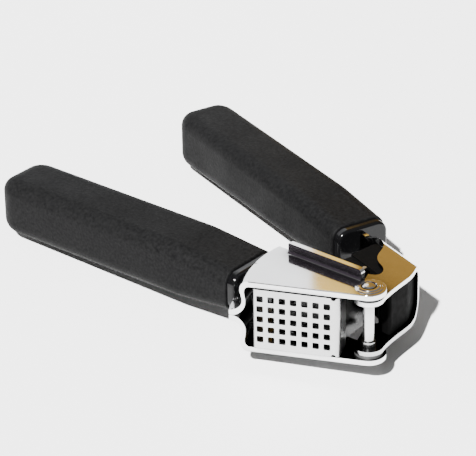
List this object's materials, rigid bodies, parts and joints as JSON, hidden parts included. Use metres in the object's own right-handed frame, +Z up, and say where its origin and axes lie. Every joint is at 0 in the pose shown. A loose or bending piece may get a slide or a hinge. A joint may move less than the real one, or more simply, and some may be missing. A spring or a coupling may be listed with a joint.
{
  "type": "garlic press",
  "caption": "Lever-type garlic press with soft-grip handles, steel side plates, a perforated strainer basket and a pivoting press foot, lying on its side partly open.",
  "frame": {"origin": "centre of the bounding box's base, in the opened rest pose", "axes": "+Z up, parallel to the pivot pin; the hopper handle runs along -X from the pivot; +Y towards the lever handle"},
  "size_m": [0.1712, 0.1148, 0.036],
  "materials": {
    "polished_steel": "polished stainless sheet",
    "strainer_steel": "satin stainless sheet",
    "brushed_foot": "satin stainless",
    "rivet_steel": "bright turned steel",
    "washer_nylon": "black nylon",
    "gloss_black": "glossy black moulding",
    "soft_grip": "fine-grained matte elastomer"
  },
  "bodies": {
    "hopper_arm": {"side_plate_upper": "polished_steel", "side_plate_lower": "polished_steel", "strainer_basket": "strainer_steel", "hopper_handle_core": "gloss_black", "hopper_handle_grip": "soft_grip", "hopper_tang_rivets": "rivet_steel", "pivot_pin": "rivet_steel", "pivot_rosette_upper": "polished_steel", "pivot_rosette_lower": "polished_steel", "pivot_spacer_upper": "washer_nylon", "pivot_spacer_lower": "washer_nylon", "pivot_collar": "rivet_steel"},
    "lever_arm": {"lever_frame": "polished_steel", "lever_handle_core": "gloss_black", "lever_handle_grip": "soft_grip", "lever_tang_rivets": "rivet_steel", "plunger_carrier": "gloss_black", "carrier_rivets": "rivet_steel", "foot_pin": "rivet_steel", "foot_pin_rings": "rivet_steel"},
    "press_foot": {"press_foot": "brushed_foot"}
  },
  "joints": [
    {"name": "lever_pivot", "type": "hinge", "parent": "hopper_arm", "child": "lever_arm", "pos_m": [0.0794, -0.03166, 0.018], "axis": [0, 0, 1], "range_deg": [-185, 20.5]},
    {"name": "press_foot_swivel", "type": "hinge", "parent": "lever_arm", "child": "press_foot", "pos_m": [0.05459, -0.02935, 0.018], "axis": [0, 0, 1], "range_deg": [-2.5, 2.5]}
  ]
}
